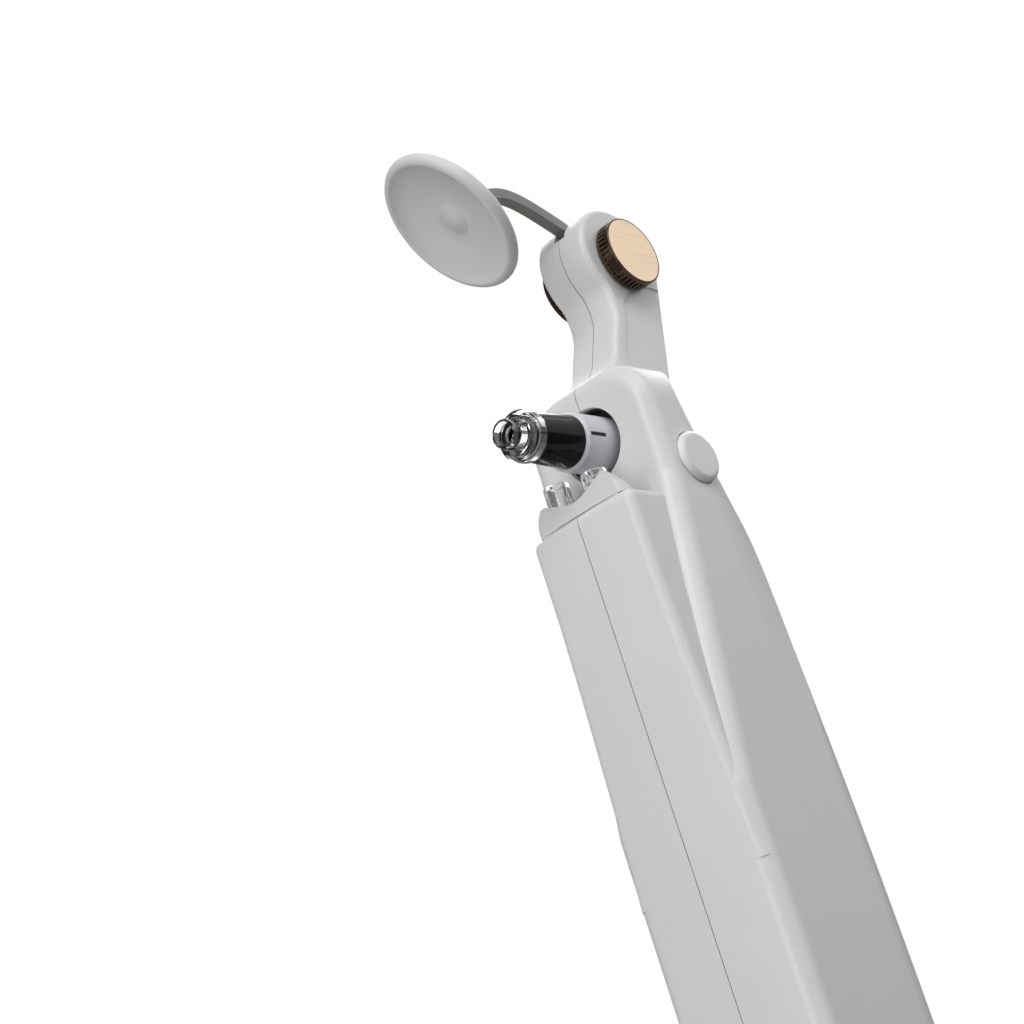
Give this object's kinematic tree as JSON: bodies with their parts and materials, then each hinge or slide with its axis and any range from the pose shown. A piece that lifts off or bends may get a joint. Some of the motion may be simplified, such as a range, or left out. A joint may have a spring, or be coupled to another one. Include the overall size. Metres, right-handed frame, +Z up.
{
  "type": "handheld pore vacuum with folding guide disc",
  "caption": "Slim white hand-held pore vacuum: clear nozzle on a black barrel, spare tips in a tray, a side button and a guide disc on a hinged arm with knurled knobs.",
  "frame": {"origin": "centre of the flat base of the handle", "axes": "+Z up along the handle, -Y to the front where the nozzle points, +X to the side with the push button"},
  "size_m": [0.0435, 0.0768, 0.2609],
  "materials": {
    "casing_white": "satin-gloss moulded plastic",
    "button_white": "gloss moulded plastic",
    "disc_white": "satin moulded plastic",
    "collar_lilac_white": "satin moulded plastic",
    "tray_white": "satin moulded plastic",
    "barrel_black": "glossy black",
    "mark_black": "printed ink",
    "mount_black": "matt moulded plastic",
    "clear_tip": "clear moulded plastic",
    "rubber_black": "matt",
    "hose_silicone": "translucent matt",
    "foam_grey": "open foam",
    "rose_gold_face": "brushed, rose-gold plated",
    "rose_gold_side": "knurled, dark rose-gold plated",
    "arm_grey": "satin grey moulded plastic",
    "ball_grey": "satin moulded plastic",
    "steel": "bright",
    "board_green": "solder mask",
    "cell_blue": "shrink sleeve",
    "grey_plastic": "moulded"
  },
  "bodies": {
    "handle": {"casing_left": "casing_white", "casing_right": "casing_white", "casing_screws": "steel", "base_cap": "casing_white", "charging_socket": "steel", "circuit_board": "board_green", "battery_cell": "cell_blue", "battery_cradle": "grey_plastic", "motor": "steel", "motor_mount": "grey_plastic", "pump_body": "grey_plastic", "pump_diaphragm": "rubber_black", "pump_head": "grey_plastic", "suction_hose": "hose_silicone", "barrel_mount": "mount_black", "filter_pad": "foam_grey", "tip_tray": "tray_white", "switch_board": "board_green", "tact_switch": "mount_black", "button_spring": "steel", "pivot_shaft": "steel", "friction_washer_left": "grey_plastic", "friction_washer_right": "grey_plastic"},
    "suction_barrel": {"suction_barrel": "barrel_black", "barrel_collar": "collar_lilac_white", "collar_index_mark": "mark_black", "tip_seal_ring": "rubber_black"},
    "nozzle_tip": {"nozzle_tip": "clear_tip"},
    "spare_tip_left": {"spare_tip_left": "clear_tip"},
    "spare_tip_right": {"spare_tip_right": "clear_tip"},
    "side_button": {"side_button": "button_white"},
    "motor_crank": {"motor_crank": "steel"},
    "knob_left": {"knob_left": "rose_gold_side", "knob_face_left": "rose_gold_face"},
    "knob_right": {"knob_right": "rose_gold_side", "knob_face_right": "rose_gold_face"},
    "disc_arm": {"disc_arm": "arm_grey"},
    "disc_ball": {"disc_ball": "ball_grey"},
    "guide_disc": {"disc_stud": "ball_grey", "guide_disc": "disc_white"}
  },
  "joints": [
    {"name": "barrel_twist", "type": "hinge", "parent": "handle", "child": "suction_barrel", "pos_m": [0, -0.01, 0.183], "axis": [0, -1, 0], "range_deg": [0, 60]},
    {"name": "nozzle_tip_pull", "type": "slide", "parent": "suction_barrel", "child": "nozzle_tip", "axis": [0, -1, 0], "range_m": [0, 0.03]},
    {"name": "spare_tip_left_lift", "type": "slide", "parent": "handle", "child": "spare_tip_left", "axis": [-0.4699, 0, 0.8827], "range_m": [0, 0.02]},
    {"name": "spare_tip_right_lift", "type": "slide", "parent": "handle", "child": "spare_tip_right", "axis": [0.7001, 0, 0.7141], "range_m": [0, 0.02]},
    {"name": "side_button_press", "type": "slide", "parent": "handle", "child": "side_button", "axis": [-1, 0, 0], "range_m": [0, 0.0006], "stiffness_N_per_m": 600, "springref_m": -0.0008},
    {"name": "motor_spin", "type": "hinge", "parent": "handle", "child": "motor_crank", "pos_m": [0, 0, 0.12], "axis": [0, 0, 1], "continuous": true},
    {"name": "knob_left_turn", "type": "hinge", "parent": "handle", "child": "knob_left", "pos_m": [-0.0105, 0.019, 0.235], "axis": [-1, 0, 0], "range_deg": [-180, 180]},
    {"name": "knob_right_turn", "type": "hinge", "parent": "handle", "child": "knob_right", "pos_m": [0.0105, 0.019, 0.235], "axis": [1, 0, 0], "range_deg": [-180, 180]},
    {"name": "arm_pivot", "type": "hinge", "parent": "handle", "child": "disc_arm", "pos_m": [0, 0.019, 0.235], "axis": [1, 0, 0], "range_deg": [-70, 2]},
    {"name": "ball_nod", "type": "hinge", "parent": "disc_arm", "child": "disc_ball", "pos_m": [0, -0.0224, 0.2499], "axis": [1, 0, 0], "range_deg": [-12, 12]},
    {"name": "ball_tilt", "type": "hinge", "parent": "disc_ball", "child": "guide_disc", "pos_m": [0, -0.0224, 0.2499], "axis": [0, -0.6406, 0.7679], "range_deg": [-12, 12]}
  ]
}
